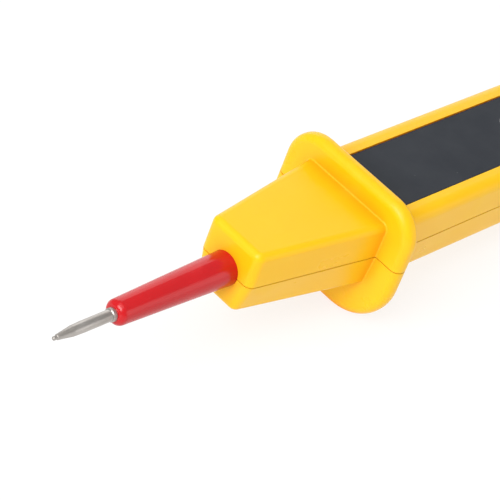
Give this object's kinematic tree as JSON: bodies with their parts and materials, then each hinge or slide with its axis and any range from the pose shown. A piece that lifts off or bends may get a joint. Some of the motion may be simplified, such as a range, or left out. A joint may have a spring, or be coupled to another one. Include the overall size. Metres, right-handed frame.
{
  "type": "voltage tester",
  "caption": "Slim handheld voltage tester with a finger guard, a tapered nose, an insulated contact pin, a slide switch, an indicator lens and a sliding battery door.",
  "frame": {"origin": "on the probe's axis, where the bare pin leaves its collar", "axes": "+X along the probe towards its tip, +Z towards the label side, +Y to the user's left"},
  "size_m": [0.2187, 0.0386, 0.0338],
  "materials": {
    "yellow_shell": "satin to glossy moulded ABS, warm yellow",
    "red_sleeve": "glossy red insulating plastic",
    "pin_plating": "nickel-plated, lightly turned and worn",
    "panel_grey": "matte dark grey legend film",
    "lens_red": "translucent red light guide",
    "led_resin": "milky clear resin",
    "knob_black": "matte black moulded plastic",
    "switch_frame": "tinned steel frame",
    "board_green": "green solder mask over glass-fibre board",
    "buzzer_black": "black moulded case",
    "chip_black": "epoxy package",
    "resistor_body": "ceramic chip with glazed top",
    "capacitor_can": "aluminium can",
    "antenna_brass": "thin brass strip",
    "lead_red": "soft PVC insulation",
    "lead_blue": "soft PVC insulation",
    "cell_wrap": "printed cell jacket with a plain band",
    "spring_steel": "nickel-plated spring steel",
    "contact_plate": "nickel-plated strip",
    "screw_steel": "zinc-plated steel",
    "touch_chrome": "bright chrome plate"
  },
  "bodies": {
    "housing": {"probe_pin": "pin_plating", "probe_sleeve": "red_sleeve", "top_shell": "yellow_shell", "bottom_shell": "yellow_shell", "label_panel": "panel_grey", "led_lens": "lens_red", "led": "led_resin", "switch_body": "switch_frame", "pcb": "board_green", "buzzer": "buzzer_black", "control_chip": "chip_black", "resistors": "resistor_body", "capacitors": "capacitor_can", "transistor": "chip_black", "antenna": "antenna_brass", "probe_lead": "lead_red", "touch_lead": "lead_blue", "battery_left": "cell_wrap", "battery_right": "cell_wrap", "battery_springs": "spring_steel", "front_contacts": "contact_plate", "tail_link_plate": "contact_plate", "housing_screws": "screw_steel", "pcb_screws": "screw_steel", "touch_electrode": "touch_chrome"},
    "switch": {"switch_knob": "knob_black", "switch_slider": "knob_black"},
    "door": {"battery_door": "yellow_shell"}
  },
  "joints": [
    {"name": "switch_slide", "type": "slide", "parent": "housing", "child": "switch", "axis": [1, 0, 0], "range_m": [0, 0.006]},
    {"name": "door_slide", "type": "slide", "parent": "housing", "child": "door", "axis": [-1, 0, 0], "range_m": [0, 0.045]}
  ]
}
